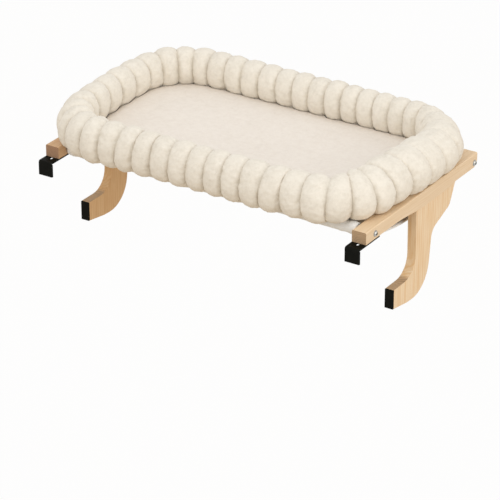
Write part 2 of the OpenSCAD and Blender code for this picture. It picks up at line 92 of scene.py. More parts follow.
# %% [markdown]
# ## A small language for node trees
#
# Shader maths reads best as a formula, so one class wraps a socket and lets Python's own operators
# add Math nodes: 1 - mask becomes a Subtract node. Every other node comes from one method that
# takes its type, its settings and the values or links of its sockets. The same two classes serve
# Geometry Nodes, because both kinds of tree are built in the same way.

# %% Values and graphs
class Value:
    """A socket that can stand in a formula."""

    def __init__(self, graph, socket):
        self.graph = graph
        self.socket = socket

    def maths(self, operation, first, second=0.0):
        return self.graph.add("ShaderNodeMath", {0: first, 1: second}, operation=operation)

    def __add__(self, other):
        return self.maths("ADD", self, other)

    def __sub__(self, other):
        return self.maths("SUBTRACT", self, other)

    def __rsub__(self, other):
        return self.maths("SUBTRACT", other, self)

    def __mul__(self, other):
        return self.maths("MULTIPLY", self, other)

    def __truediv__(self, other):
        return self.maths("DIVIDE", self, other)

    def __pow__(self, other):
        return self.maths("POWER", self, other)

    def __abs__(self):
        return self.maths("ABSOLUTE", self)

    __radd__ = __add__
    __rmul__ = __mul__


class Graph:
    """A node tree with one method that adds any node."""

    def __init__(self, tree):
        self.tree = tree

    def add(self, kind, sockets=None, out=0, **settings):
        node = self.tree.nodes.new(kind)
        for name, value in settings.items():
            setattr(node, name, value)
        for key, value in (sockets or {}).items():
            if isinstance(value, Value):
                self.tree.links.new(value.socket, node.inputs[key])
            else:
                node.inputs[key].default_value = value
        return Value(self, node.outputs[out]) if node.outputs else node


# %% A finish is a graph that ends in a surface
def rgba(colour):
    """A colour as a socket takes it: a link stays a link, and a triple gets its fourth number."""
    return colour if isinstance(colour, Value) else (*colour, 1)


class Finish(Graph):
    """A material under construction, with the patterns that this object needs."""

    def __init__(self, name):
        self.material = bpy.data.materials.new(name)
        self.material.use_nodes = True
        super().__init__(self.material.node_tree)
        self.tree.nodes.clear()
        self.at = self.add("ShaderNodeTexCoord", out="Object")

    def axes(self, vector):
        node = self.tree.nodes.new("ShaderNodeSeparateXYZ")
        self.tree.links.new(vector.socket, node.inputs[0])
        return [Value(self, out) for out in node.outputs]

    def noise(self, size, stretch=(1, 1, 1), detail=2, roughness=0.5):
        """Lumps of about that size in metres, drawn out along each axis by stretch; from 0 to 1."""
        scaled = self.add("ShaderNodeVectorMath", {0: self.at, 1: [1 / (size * s) for s in stretch]},
                          operation="MULTIPLY")
        return self.add("ShaderNodeTexNoise",
                        {"Vector": scaled, "Scale": 1.0, "Detail": detail, "Roughness": roughness})

    def between(self, value, low, high):
        """0 below low, 1 above high and smooth between them."""
        return self.add("ShaderNodeMapRange", {"Value": value, "From Min": low, "From Max": high},
                        interpolation_type="SMOOTHSTEP")

    def mix(self, share, first, second):
        """Two colours mixed by share, as RGB triples or links."""
        return self.add("ShaderNodeMix", {0: share, 6: rgba(first), 7: rgba(second)}, out=2, data_type="RGBA")

    def surface(self, colour, roughness, height=None, depth=0.001, strength=1.0, **constants):
        """Ends the finish: height, from 0 to 1, becomes bumps of that depth in metres."""
        sockets = {"Base Color": rgba(colour), "Roughness": roughness}
        sockets.update({name.replace("_", " "): value for name, value in constants.items()})
        if height is not None:
            bump = {"Strength": strength, "Distance": depth, "Height": height}
            sockets["Normal"] = self.add("ShaderNodeBump", bump)
        shader = self.add("ShaderNodeBsdfPrincipled", sockets)
        self.add("ShaderNodeOutputMaterial", {"Surface": shader})
        return self.material


# %% [markdown]
# ## Light and floor
#
# The picture was lit in a white tent: broad, soft light from above and a little from the right,
# and hardly a shadow. Two large lamps make that light, one in front and above and a weaker one at
# the right, and a pale world fills the shade. The floor lies a sill's height under the hammock. To
# the camera and to shiny parts floor and world look white, but their true light on the object stays
# lower, so that pale plush doesn't burn out.

# %% World
SKY_LEVEL = 0.87


def seen_directly(graph):
    """1 for rays from the camera and for reflections, 0 for the light that falls on the object."""
    path = graph.tree.nodes.new("ShaderNodeLightPath")
    kinds = ("Is Camera Ray", "Is Glossy Ray", "Is Transmission Ray")
    from_camera, glossy, through = [Value(graph, path.outputs[kind]) for kind in kinds]
    either = from_camera.maths("MAXIMUM", from_camera, glossy)
    return either.maths("MAXIMUM", either, through)


world = bpy.data.worlds.new("studio")
world.use_nodes = True
scene.world = world
studio = Graph(world.node_tree)
studio.tree.nodes.clear()
sky_strength = SKY_LEVEL + (1 - SKY_LEVEL) * seen_directly(studio)
sky = studio.add("ShaderNodeBackground", {"Color": (1, 1, 1, 1), "Strength": sky_strength})
studio.add("ShaderNodeOutputWorld", {"Surface": sky})

# %% Lamps
LAMPS_AIM = (0, 0.05, 0)


def softbox(name, place, size, watts):
    """A square lamp at place that points at the hammock."""
    lamp = bpy.data.lights.new(name, "AREA")
    lamp.shape = "SQUARE"
    lamp.size = size
    lamp.energy = watts
    holder = placed(name, lamp)
    holder.location = place
    aim = np.array(LAMPS_AIM) - np.array(place)
    across = math.hypot(aim[0], aim[1])
    holder.rotation_euler = (math.atan2(across, -aim[2]), 0, math.atan2(aim[1], aim[0]) - math.pi / 2)
    print(name, watts, "W at", place)


softbox("key_lamp", (0.4, -2.2, 2.1), 1.8, 21.8)
softbox("side_lamp", (2.6, 0.1, 0.7), 1.4, 14)

# %% Floor
FLOOR_Z = -0.9
FLOOR_HALF = 30
WHITE_TO_CAMERA = 0.97

corners = [(x * FLOOR_HALF, y * FLOOR_HALF, FLOOR_Z) for x, y in ((-1, -1), (1, -1), (1, 1), (-1, 1))]
floor_mesh = bpy.data.meshes.new("floor")
floor_mesh.from_pydata(corners, [], [(0, 1, 2, 3)])
floor = placed("floor", floor_mesh)

paper = Finish("floor_paper")
paper_grain = paper.noise(4 * MM, detail=3)
paper_tone = paper.mix(paper_grain, (0.56, 0.465, 0.35), (0.60, 0.505, 0.39))
matt = paper.add("ShaderNodeBsdfDiffuse", {"Color": paper_tone})
glow = paper.add("ShaderNodeEmission", {"Color": (1, 1, 1, 1), "Strength": 1.0})
to_camera = seen_directly(paper) * WHITE_TO_CAMERA
seen_white = paper.add("ShaderNodeMixShader", {0: to_camera, 1: matt, 2: glow})
paper.add("ShaderNodeOutputMaterial", {"Surface": seen_white})
floor_mesh.materials.append(paper.material)

# %% [markdown]
# ## Pine
#
# Pine is pale and straight-grained. A log grows in rings round its pith, so the board is cut from
# rings here too: each point's distance from a pith line that runs beside the board, warped a
# little, gives its place in a ring. That one rule draws straight lines on the faces and arcs on the
# end grain, which a flat stripe pattern couldn't do. Fine fibres run along the grain on top. The
# left bracket gets darker, warmer copies of the pine: painted shade for the cushion's shadow on it.

# %% Wood
END_GRAIN = (0.525, 0.355, 0.21)


def drawn_out(axis, amount):
    """The stretch of a noise whose lumps are drawn out along one axis."""
    return [amount if k == axis else 1.0 for k in range(3)]


def distance(first, second):
    return (first * first + second * second) ** 0.5


def pine(name, along, pith, pale, dark, end_grain=END_GRAIN, ring=2.6 * MM, streak=0.5):
    """Wood whose grain runs along axis 1 or 2, from a log whose pith passes through a point."""
    wood = Finish(name)
    warp = wood.noise(26 * MM, drawn_out(along, 12.0), detail=3, roughness=0.55)
    spread = wood.noise(11 * MM, drawn_out(along, 12.0), detail=1)
    x, y, z = wood.axes(wood.at)
    straight = distance(x - pith[0], (z if along == 1 else y) - pith[1])
    radius = straight + (warp - 0.5) * (16 * MM) + (spread - 0.5) * (5 * MM)
    turn = radius.maths("FRACT", radius / ring)
    late = wood.between(turn, 0.25, 0.8) * (1 - wood.between(turn, 0.84, 1.0))
    fibre = wood.noise(0.5 * MM, drawn_out(along, 45.0), detail=4, roughness=0.65)
    band = wood.noise(7 * MM, drawn_out(along, 9.0), detail=2)
    normal = wood.axes(wood.add("ShaderNodeTexCoord", out="Normal"))
    end = wood.between(abs(normal[along]), 0.88, 0.98)
    # Faces that don't face along X are drawn darker and more orange.
    facing_x = wood.between(abs(normal[0]), 0.5, 0.9)
    figure = late * 0.3 + (fibre - 0.5) * 0.7 + (band - 0.5) * (2 * streak) + (1 - facing_x) * 0.16
    side_colour = wood.mix(wood.between(figure, -0.45, 0.95), pale, dark)
    end_figure = wood.between(late * 0.8 + (fibre - 0.5) * 0.8, -0.3, 1.2)
    end_colour = wood.mix(end_figure, end_grain, [c * 0.68 for c in end_grain])
    return wood.surface(wood.mix(end, side_colour, end_colour), fibre * 0.16 + end * 0.2 + 0.44,
                        height=fibre * 0.6 + late * 0.4, depth=0.1 * MM, Specular_IOR_Level=0.3)


arm_pine = pine("arm_pine", 1, (0.37, -0.055), (0.835, 0.66, 0.465), (0.72, 0.505, 0.29), streak=0.35)
leg_pine = pine("leg_pine", 2, (0.19, 0.36), (0.875, 0.705, 0.495), (0.735, 0.45, 0.20), ring=5.5 * MM)
# The left bracket's pine: darker, warmer copies, as painted shade for the cushion's shadow.
shaded_leg_pine = pine("warm_leg_pine", 2, (-0.42, 0.34), (0.755, 0.51, 0.275), (0.585, 0.32, 0.125),
                 ring=4.8 * MM)
shaded_arm_pine = pine("warm_arm_pine", 1, (-0.37, -0.055), (0.70, 0.47, 0.275), (0.56, 0.335, 0.165),
                end_grain=(0.415, 0.245, 0.145))
dowel_beech = pine("dowel_beech", 2, (0.25, 0.0), (0.62, 0.42, 0.26), (0.5, 0.31, 0.18), ring=1.5 * MM)
print("woods:", arm_pine.name, leg_pine.name, shaded_arm_pine.name, shaded_leg_pine.name, dowel_beech.name)

# %% [markdown]
# ## Steel, brass, rubber and tape
#
# The hook plates are bent steel with a black powder coat, which cures with a faint orange-peel
# skin. The screws are zinc-plated, the pads are black rubber and foam, and the strip that keeps
# the cushion in place is black hook-and-loop tape. Each is a plain colour in life, so what makes it
# read right is how its gloss breaks up: that comes from fine noise in roughness and height.

# %% Metals
def plated(name, colour, roughness, scratch_along):
    """Bare or plated metal with fine wear drawn out along one axis."""
    metal = Finish(name)
    scratches = metal.noise(0.25 * MM, drawn_out(scratch_along, 30.0), detail=3)
    blotches = metal.noise(6 * MM, detail=2)
    tone = metal.mix(metal.between(blotches, 0.3, 0.8), colour, [c * 0.86 for c in colour])
    return metal.surface(tone, scratches * 0.14 + blotches * 0.1 + roughness, height=scratches,
                         depth=0.012 * MM, Metallic=1.0)


def bolt_zinc():
    """Zinc on domed bolt heads: bright on the crown, with painted shade and some dirt in the hex socket, and
    a painted contact shadow round the head's edge.
    """
    metal = Finish("bolt_zinc")
    _, y, z = metal.axes(metal.at)
    tubes = (TUBE_FRONT.tolist(), TUBE_REAR.tolist())
    from_front, from_rear = [distance(y - tube_y, z - tube_z) for tube_y, tube_z in tubes]
    reach = from_front.maths("MINIMUM", from_front, from_rear)
    # Painted shade, with some dirt, in the hex socket, then a painted contact shadow round the head's edge.
    socket = 1 - metal.between(reach, 1.7 * MM, 2.3 * MM)
    rim = metal.between(reach, 4.0 * MM, 5.2 * MM)
    wear = metal.noise(0.6 * MM, detail=3)
    shade = socket * 0.9 + rim * 0.45 + (wear - 0.5) * 0.3
    tone = metal.mix(metal.between(shade, 0.0, 1.0), (0.46, 0.445, 0.41), (0.03, 0.025, 0.02))
    return metal.surface(tone, wear * 0.12 + 0.2, height=wear, depth=0.01 * MM, Metallic=1.0)


bolt_finish = bolt_zinc()
zinc = plated("zinc_plate", (0.66, 0.655, 0.63), 0.18, 1)
tube_steel = plated("drawn_tube", (0.62, 0.62, 0.61), 0.26, 0)
brass = plated("turned_brass", (0.76, 0.58, 0.30), 0.2, 2)

# %% Black skins
def black_skin(name, shade, roughness, grain, depth, gloss):
    """A black moulded, sprayed or woven surface with a grain of that size."""
    skin = Finish(name)
    bumps = skin.noise(grain, detail=3, roughness=0.6)
    dust = skin.between(skin.noise(9 * MM, detail=3), 0.45, 0.8)
    clean = (shade, shade, shade * 0.6)
    dusty = (shade * 2.4, shade * 2.35, shade * 1.6)
    tone = skin.mix(dust * 0.6 + bumps * 0.25, clean, dusty)
    return skin.surface(tone, bumps * 0.2 + roughness, height=bumps, depth=depth, Specular_IOR_Level=gloss)


powder_coat = black_skin("black_powder_coat", 0.0035, 0.45, 0.9 * MM, 0.03 * MM, 0.07)
rubber = black_skin("foot_rubber", 0.0045, 0.7, 0.5 * MM, 0.05 * MM, 0.1)
foam = black_skin("hook_foam", 0.006, 0.85, 1.1 * MM, 0.25 * MM, 0.08)
loop_tape = black_skin("loop_tape", 0.004, 0.95, 0.8 * MM, 0.4 * MM, 0.05)

# %% Dress the CAD parts
CAD_FINISH = {
    "arm": arm_pine, "leg": leg_pine, "dowels": dowel_beech, "foot_pad": rubber,
    "hook_plate": powder_coat, "hook_pad": foam, "clamp_screws": zinc, "clamp_inserts": brass,
    "tube_bolts": bolt_finish, "hook_tape": loop_tape, "tube": tube_steel, "tube_plugs": zinc,
}
# The left bracket wears the darker pine copies: painted shade.
OWN_FINISH = {"left_leg": shaded_leg_pine, "left_arm": shaded_arm_pine}


def kind_of(node):
    """left_arm is an arm, and front_tube is a tube."""
    return node.split("_", 1)[1] if node.split("_")[0] in ("left", "right", "front", "rear") else node


for name, part in nodes.items():
    finish = OWN_FINISH.get(name) or CAD_FINISH.get(kind_of(name))
    if finish is not None:
        part.data.materials.clear()
        part.data.materials.append(finish)
print("dressed", sum(kind_of(n) in CAD_FINISH for n in nodes), "CAD nodes")

# %% [markdown]
# ## Sanded edges
#
# A sawn edge that a hand touches is never knife-sharp: it is sanded, and it catches a thin line of
# light. The CAD solids have true corners, and a CAD mesh must not change, so arms, legs, pads and
# plates are copied, their loose triangles merged into clean faces, and a Bevel modifier
# rounds each edge that turns by more than about 30 degrees.

# %% Meshes in general
def finished(mesh_object, body, node_names):
    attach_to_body(mesh_object, body)
    if node_names:
        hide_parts(*node_names)
    return mesh_object


def plain_mesh(mesh_object):
    """Bakes an object's modifiers into its mesh and removes them."""
    seen = mesh_object.evaluated_get(bpy.context.evaluated_depsgraph_get())
    baked = bpy.data.meshes.new_from_object(seen)
    mesh_object.modifiers.clear()
    mesh_object.data = baked
    baked.name = mesh_object.name
    return mesh_object


def shade_smooth(mesh):
    for face in mesh.polygons:
        face.use_smooth = True


def skin(name, points, faces):
    """An object with smooth faces through points."""
    mesh = bpy.data.meshes.new(name)
    mesh.from_pydata(points.reshape(-1, 3).tolist(), [], faces)
    shade_smooth(mesh)
    return placed(name, mesh)


# %% Bevelled copies
WELD = 2e-6
SAME_FACE = math.radians(0.6)
ROUNDED_FROM = math.radians(32)
CREASED_FROM = math.radians(50)
# What is done to each kind of node: its radius and steps, the body it rides on and its slot.
SANDING = (
    ("arm", "sanded", 0.7 * MM, 3, "frame", "pine"),
    ("leg", "sanded", 0.9 * MM, 3, "frame", "pine_board"),
    ("foot_pad", "moulded", 0.6 * MM, 3, "frame", "rubber"),
    ("hook_plate", "coated", 0.4 * MM, 2, "hook", "black_steel"),
    ("hook_pad", "cut", 0.5 * MM, 2, "hook", "foam"),
)


def sanded(node, name, radius, steps, body):
    """A copy of a CAD node whose sharp edges are rounded by radius."""
    mesh = nodes[node].data.copy()
    shape = bmesh.new()
    shape.from_mesh(mesh)
    bmesh.ops.remove_doubles(shape, verts=shape.verts, dist=WELD)
    bmesh.ops.dissolve_limit(shape, angle_limit=SAME_FACE, verts=shape.verts, edges=shape.edges)
    shape.to_mesh(mesh)
    shape.free()
    piece = placed(name, mesh)
    bevel = piece.modifiers.new("sanding", "BEVEL")
    bevel.width = radius
    bevel.segments = steps
    bevel.limit_method = "ANGLE"
    bevel.angle_limit = ROUNDED_FROM
    weighted = piece.modifiers.new("shading", "WEIGHTED_NORMAL")
    weighted.keep_sharp = True
    shade_smooth(mesh)
    mesh.set_sharp_from_angle(angle=CREASED_FROM)
    plain_mesh(piece)
    finished(piece, body, [node])
    print(name, len(piece.data.polygons), "faces")


for side in ("left", "right"):
    for kind, work, radius, steps, body, slot_name in SANDING:
        rides_on = side + "_hook" if body == "hook" else body
        sanded(f"{side}_{kind}", f"{side}_{kind}_{work}", radius, steps, rides_on)

# %% [markdown]
# ## The rounded rectangle
#
# The cushion's rim, its pad and their seams all follow one shape, a rectangle with round corners,
# walked counter-clockwise from the middle of its front. Writing that walk once keeps lobes, seams
# and pad in step, and the same numbers made the CAD solids.

# %% Loop
RIM_HALF_X, RIM_HALF_Y, RIM_CORNER = 0.288, 0.170, 0.092
RIM_Y, RIM_Z = 0.077, 0.058
RIM_W, RIM_H = 0.053, 0.069
LOBES = 48


def loop_length(half_x, half_y, corner):
    return 4 * (half_x - corner) + 4 * (half_y - corner) + 2 * math.pi * corner


def loop_at(s, half_x, half_y, corner):
    """Points and outward directions at lengths s along a rounded rectangle, as two arrays."""
    total = loop_length(half_x, half_y, corner)
    w = np.mod(np.asarray(s, float), total)
    run_x, run_y, arc = half_x - corner, half_y - corner, math.pi * corner / 2
    right = w <= total / 2
    v = np.where(right, w, total - w)
    lower = v <= total / 4
    q = np.where(lower, v, total / 2 - v)
    angle = np.clip((q - run_x) / arc, 0, 1) * math.pi / 2
    x = np.where(q <= run_x, q, run_x + corner * np.sin(angle))
    y = np.where(q <= run_x + arc, -run_y - corner * np.cos(angle), -run_y + (q - run_x - arc))
    sign_x, sign_y = np.where(right, 1, -1), np.where(lower, 1, -1)
    points = np.stack([sign_x * x, sign_y * y], -1)
    outward = np.stack([sign_x * np.sin(angle), -sign_y * np.cos(angle)], -1)
    return points, outward


rim_length = loop_length(RIM_HALF_X, RIM_HALF_Y, RIM_CORNER)
LOBE_PITCH = rim_length / LOBES
print("rim", round(rim_length, 4), "m round, a lobe each", round(LOBE_PITCH / MM, 2), "mm")

# %% [markdown]
# ## Plush
#
# Rim and pad wear a short, dense plush. Its single hairs are too fine to model, but it shows in
# two ways: a velvet sheen at grazing angles and a soft mottle where the pile leans to and fro. The
# seams are also painted darker and warmer: painted shade down in the creases. The sheen is a
# constant of the shader, the mottle and the height come from noise, and the painted seam shade
# reads an attribute that the cloth's own mesh carries.

# %% Plush finish
def plush(name, tip, root):
    """Short pile: tip is its lit colour, root the colour between the hairs and of the painted shade in seams.
    """
    pile = Finish(name)
    hairs = pile.noise(0.7 * MM, detail=4, roughness=0.65)
    lean = pile.noise(11 * MM, detail=3, roughness=0.6)
    tuft = pile.noise(4.5 * MM, detail=2, roughness=0.6)
    cloud = pile.noise(55 * MM, detail=2)
    # fold carries painted shade: where it is high, the pile is pushed toward the root colour.
    fold = pile.add("ShaderNodeAttribute", out="Fac", attribute_name="fold")
    mottle = (hairs - 0.5) * 0.5 + (tuft - 0.5) * 0.5 + (lean - 0.5) * 0.7 + (cloud - 0.5) * 0.3
    colour = pile.mix(pile.between(mottle + fold * 0.7, -0.35, 1.1), tip, root)
    return pile.surface(colour, 0.92, height=hairs * 0.25 + tuft * 0.45 + lean * 0.3,
                        depth=1.6 * MM, strength=0.6, Specular_IOR_Level=0.12,
                        Sheen_Weight=0.22, Sheen_Roughness=0.45, Sheen_Tint=(1.0, 0.97, 0.92, 1.0))


rim_plush = plush("rim_plush", (0.86, 0.80, 0.70), (0.52, 0.46, 0.365))
pad_plush = plush("pad_plush", (0.86, 0.795, 0.72), (0.68, 0.595, 0.505))

# %% [markdown]
# ## Geometry Nodes from a script
#
# A modifier made of nodes is a recipe with named sizes. This class starts a tree with its inputs,
# ends it so that instances become real faces, and bakes it into a plain mesh. The inputs are set
# by the socket's identifier, because two inputs may share a name but never an identifier.

# %% Recipe for node modifiers
class Recipe(Graph):
    """A Geometry Nodes tree with named inputs, used as a modifier."""

    KINDS = {float: "NodeSocketFloat", int: "NodeSocketInt", bpy.types.Material: "NodeSocketMaterial"}

    def __init__(self, name, **inputs):
        super().__init__(bpy.data.node_groups.new(name, "GeometryNodeTree"))
        face = self.tree.interface
        face.new_socket("Geometry", in_out="INPUT", socket_type="NodeSocketGeometry")
        face.new_socket("Geometry", in_out="OUTPUT", socket_type="NodeSocketGeometry")
        self.values = inputs
        self.keys = {}
        for label, value in inputs.items():
            kind = next(socket for cls, socket in self.KINDS.items() if isinstance(value, cls))
            self.keys[label] = face.new_socket(label, in_out="INPUT", socket_type=kind).identifier
        group = self.tree.nodes.new("NodeGroupInput")
        self.geometry = Value(self, group.outputs["Geometry"])
        self.inputs = {label: Value(self, group.outputs[label]) for label in inputs}

    def finish(self, geometry):
        """Ends the tree: instances become real faces that wear the material."""
        real = self.add("GeometryNodeRealizeInstances", {0: geometry})
        dressed = self.add("GeometryNodeSetMaterial", {"Geometry": real, "Material": self.inputs["Material"]})
        self.add("NodeGroupOutput", {0: dressed})

    def bake(self, piece):
        """Runs the tree on a piece, with its inputs set, and leaves a plain mesh."""
        modifier = piece.modifiers.new(self.tree.name, "NODES")
        modifier.node_group = self.tree
        for label, value in self.values.items():
            modifier[self.keys[label]] = value
        return plain_mesh(piece)


# %% [markdown]
# ## The rim, swept along its seams
#
# The rim is one long stuffed tube, drawn tight by 48 seams, so that it swells into round lobes.
# Its shape follows a rule, which Geometry Nodes can sweep: an oval profile runs along the rounded
# rectangle and is scaled at each station by how far the lobe has swelled there. The seams of a
# hand-stuffed rim are never quite even, so their places are a list, counted in even lobe widths
# from the middle of the front: close together along the back, and far apart at the right end.

# %% Seams and stations
SEAMS = np.array([
    -6.6, -5.65, -4.73, -3.78, -2.84, -1.88, -0.9, 0.06, 1.0, 1.93, 2.9, 3.93, 4.98, 6.04, 7.08, 8.16,
    9.28, 10.45, 11.75, 13.05, 14.28, 15.4, 16.5, 17.55, 18.5, 19.33, 20.12, 20.95, 21.84, 22.7, 23.59,
    24.48, 25.37, 26.29, 27.26, 28.23, 29.17, 30.12, 31.1, 32.0, 33.05, 34.15, 35.28, 36.42, 37.52,
    38.65, 39.7, 40.6])
SEAM_SHARE = 0.75
STEPS = 8
AROUND = 48


def puff(share, seam):
    """Size of the tube at a share of the way across a lobe, where a seam has the size seam."""
    return seam + (1 - seam) * np.clip(1 - np.abs(2 * share - 1) ** 2.1, 0, 1) ** 0.5


def edge_path(name, lines, closed):
    """An object of lines, each a row of points joined by edges, closed into a loop or left open."""
    points, edges = [], []
    for line in lines:
        first, count = len(points), len(line)
        points += [tuple(p) for p in line]
        edges += [(first + i, first + (i + 1) % count) for i in range(count if closed else count - 1)]
    mesh = bpy.data.meshes.new(name)
    mesh.from_pydata(points, edges, [])
    return placed(name, mesh)


def attach(mesh, name, values):
    """Stores one number for each point of a mesh."""
    layer = mesh.attributes.new(name, "FLOAT", "POINT")
    layer.data.foreach_set("value", np.ascontiguousarray(values, dtype=np.float32))


lobe_width = np.diff(np.r_[SEAMS, SEAMS[0] + LOBES])
step_share = (1 - np.cos(np.arange(STEPS) / STEPS * math.pi)) / 2
share_of = np.tile(step_share, LOBES)
station_u = (SEAMS[:, None] + lobe_width[:, None] * step_share).ravel()
# The seams at the right end, round lobe 15, are looser than the others.
loose = np.minimum(np.clip(1 - np.abs(station_u - 15) / 4.5, 0, 1) * 2, 1)
seam_share = SEAM_SHARE + 0.11 * loose
spine, spine_out = loop_at((station_u - 0.5) * LOBE_PITCH, RIM_HALF_X, RIM_HALF_Y, RIM_CORNER)
rim_line = np.c_[spine[:, 0], spine[:, 1] + RIM_Y, np.full(len(spine), RIM_Z)]

rim = edge_path("cushion_rim", [rim_line], closed=True)
attach(rim.data, "swell", puff(share_of, seam_share))

# %% Sweep
sweep = Recipe("lobed_rim", Width=RIM_W, Height=RIM_H, Sides=AROUND, Material=rim_plush)
spine_curve = sweep.add("GeometryNodeMeshToCurve", {0: sweep.geometry})
upright = sweep.add("GeometryNodeSetCurveNormal", {0: spine_curve}, mode="Z_UP")
ring = sweep.add("GeometryNodeCurvePrimitiveCircle", {"Resolution": sweep.inputs["Sides"], "Radius": 0.5})
oval_size = sweep.add("ShaderNodeCombineXYZ", {0: sweep.inputs["Width"], 1: sweep.inputs["Height"], 2: 1.0})
oval = sweep.add("GeometryNodeTransform", {"Geometry": ring, "Scale": oval_size})
swell = sweep.add("GeometryNodeInputNamedAttribute", {"Name": "swell"}, data_type="FLOAT")
tube = sweep.add("GeometryNodeCurveToMesh", {"Curve": upright, "Profile Curve": oval, "Scale": swell})
sweep.finish(sweep.add("GeometryNodeSetShadeSmooth", {"Geometry": tube}))
sweep.bake(rim)
print("rim swept:", len(rim.data.vertices), "points,", len(rim.data.polygons), "faces")

# %% [markdown]
# ## How the rim sits
#
# Filling shifts, so the swept tube is then pushed about as a hand would: each row leans a little
# inward over the nest, the right end is fuller, its front corner is tucked in, and the left end
# reaches out. Each push is a smooth curve through a few values along the rim. The lobes' undersides
# are pressed flat where they rest on the arms, because that is where the cushion's weight goes.

# %% Places of points as arrays
def places(mesh):
    flat = np.empty(len(mesh.vertices) * 3, np.float32)
    mesh.vertices.foreach_get("co", flat)
    return flat.reshape(-1, 3).astype(float)


def set_places(mesh, points):
    mesh.vertices.foreach_set("co", np.ascontiguousarray(points, dtype=np.float32).ravel())
    mesh.update()


# %% Where plush may rest
LOWEST = 23.6 * MM
ON_ARM = 2.5 * MM
ON_SLEEVE = 2.2 * MM
DROOP = 5 * MM
ARM_FROM_X = 0.2640
DROOP_TO_X = 0.262
DROOP_FRONT_Y, DROOP_REAR_Y = -0.0755, 0.2645


def seat_height(points):
    """The lowest that plush may hang: on the arms, over the sling's sleeves, and elsewhere."""
    x, y = np.abs(points[:, 0]), points[:, 1]
    on_arm = np.clip((x - ARM_FROM_X) / (4.6 * MM), 0, 1)
    to_tube = np.minimum(np.abs(y - TUBE_FRONT[0]), np.abs(y - TUBE_REAR[0]))
    on_sleeve = np.minimum(np.clip(1 - to_tube / (20 * MM), 0, 1) * 3, 1)
    beyond = np.maximum(DROOP_FRONT_Y - y, y - DROOP_REAR_Y)
    droop = DROOP * np.clip(beyond / (8 * MM), 0, 1) * np.clip((DROOP_TO_X - x) / (10 * MM), 0, 1)
    return LOWEST - droop + np.maximum(ON_ARM * on_arm, ON_SLEEVE * on_sleeve)


def seat(piece):
    """Lifts a piece's points to where they may rest, and returns them."""
    points = places(piece.data)
    points[:, 2] = np.maximum(points[:, 2], seat_height(points))
    set_places(piece.data, points)
    return points


# %% Pushes along the rim
PUSH_AT = np.array([-8.3, -4, 0, 4, 6.5, 8.6, 10.8, 13, 16.5, 19, 24, 30, 33, 36, 39.7])
TUCK = np.array([-2.5, 0, 0, 0, 2, 8, 8, -1, -4, -2, 0, 0, -1, -3, -2.5]) * MM
FAT = np.array([0.14, 0.05, 0.03, 0.05, 0.12, 0.30, 0.36, 0.40, 0.30, 0.06, 0, 0, 0.05, 0, 0.14])
LEAN = np.array([10, 9, 9, 9, 11, 14, 13, 12, 10, 3, 2, 2, 4, 5, 10]) * MM


def along_rim(values):
    """A smooth periodic curve through values at the places in PUSH_AT, read at every station."""
    at = np.r_[PUSH_AT[-1] - LOBES, PUSH_AT, PUSH_AT[0] + LOBES]
    value = np.r_[values[-1], values, values[0]]
    u = (station_u - PUSH_AT[0]) % LOBES + PUSH_AT[0]
    k = np.clip(np.searchsorted(at, u, side="right") - 1, 0, len(at) - 2)
    t = (u - at[k]) / (at[k + 1] - at[k])
    return (value[k] + (value[k + 1] - value[k]) * t * t * (3 - 2 * t))[:, None]


def bell(angle, middle, width):
    """1 at the middle, and falling off to both sides over that width in degrees."""
    return np.exp(-((angle - middle) / width) ** 2)


rng = np.random.default_rng(48)
centre = rim_line[:, :2]
grid = places(rim.data).reshape(LOBES * STEPS, AROUND, 3)
out = ((grid[:, :, :2] - centre[:, None]) * spine_out[:, None]).sum(-1)
level = grid[:, :, 2] - RIM_Z
fat, lean, tuck = along_rim(FAT), along_rim(LEAN), along_rim(TUCK)
lobe_size = np.repeat(rng.normal(1.0, 0.018, LOBES), STEPS)[:, None]
swelled = ((puff(share_of, seam_share) - seam_share) / (1 - seam_share))[:, None]
# Round the tube, 0 degrees is its underside and 90 its face toward the nest.
inward = np.degrees(np.arctan2(-out / RIM_W, -level / RIM_H))
# 1 on the front and rear rows, and 0 on the ends.
long_row = np.clip(np.abs(spine_out[:, 1]) * 2 - 1, 0, 1)[:, None]
slack_base = 0.3 * bell(inward, -2, 42) * long_row + 0.24 * bell(inward, 42, 34) * (1 - long_row)
slack_top = 0.13 * np.clip(-np.cos(np.radians(inward)), 0, 1) ** 2
grow = 1 + (lobe_size - 1) * swelled
grow = grow * (1 + (slack_base + slack_top) * (1 - swelled) ** 2)
grow = grow * (1 + 0.1 * long_row * swelled * bell(inward, -42, 36))
out = out * grow * (1 + fat) - fat * RIM_W / 2 - tuck
level = level * grow * (1 + fat * 0.12)
out = out - lean * np.clip((level + RIM_H / 2) / RIM_H, 0, 1) ** 1.3
tilt = np.repeat(rng.normal(0, 0.05, LOBES), STEPS)[:, None]
lengthwise = np.c_[-spine_out[:, 1], spine_out[:, 0]]
outward_part = out[:, :, None] * spine_out[:, None]
tilted_part = (level * tilt)[:, :, None] * lengthwise[:, None]
flat = centre[:, None] + outward_part + tilted_part
start = np.concatenate([flat, (level + RIM_Z)[:, :, None]], -1).reshape(-1, 3)
set_places(rim.data, start)

# %% [markdown]
# ## Stuffing by simulation
#
# Rounded shapes alone look like plastic. Real lobes are cloth bags that filling pushes out against
# their seams, so that the cloth strains, and puckers beside each seam. The cloth solver does just
# that: the seams are pinned, the cloth is cut a little larger than the shape, and a pressure
# inflates it. It runs without gravity for 20 frames, and a cap keeps each point near its start.

# %% Inflate
CLOTH_STIFFNESS = 15.0


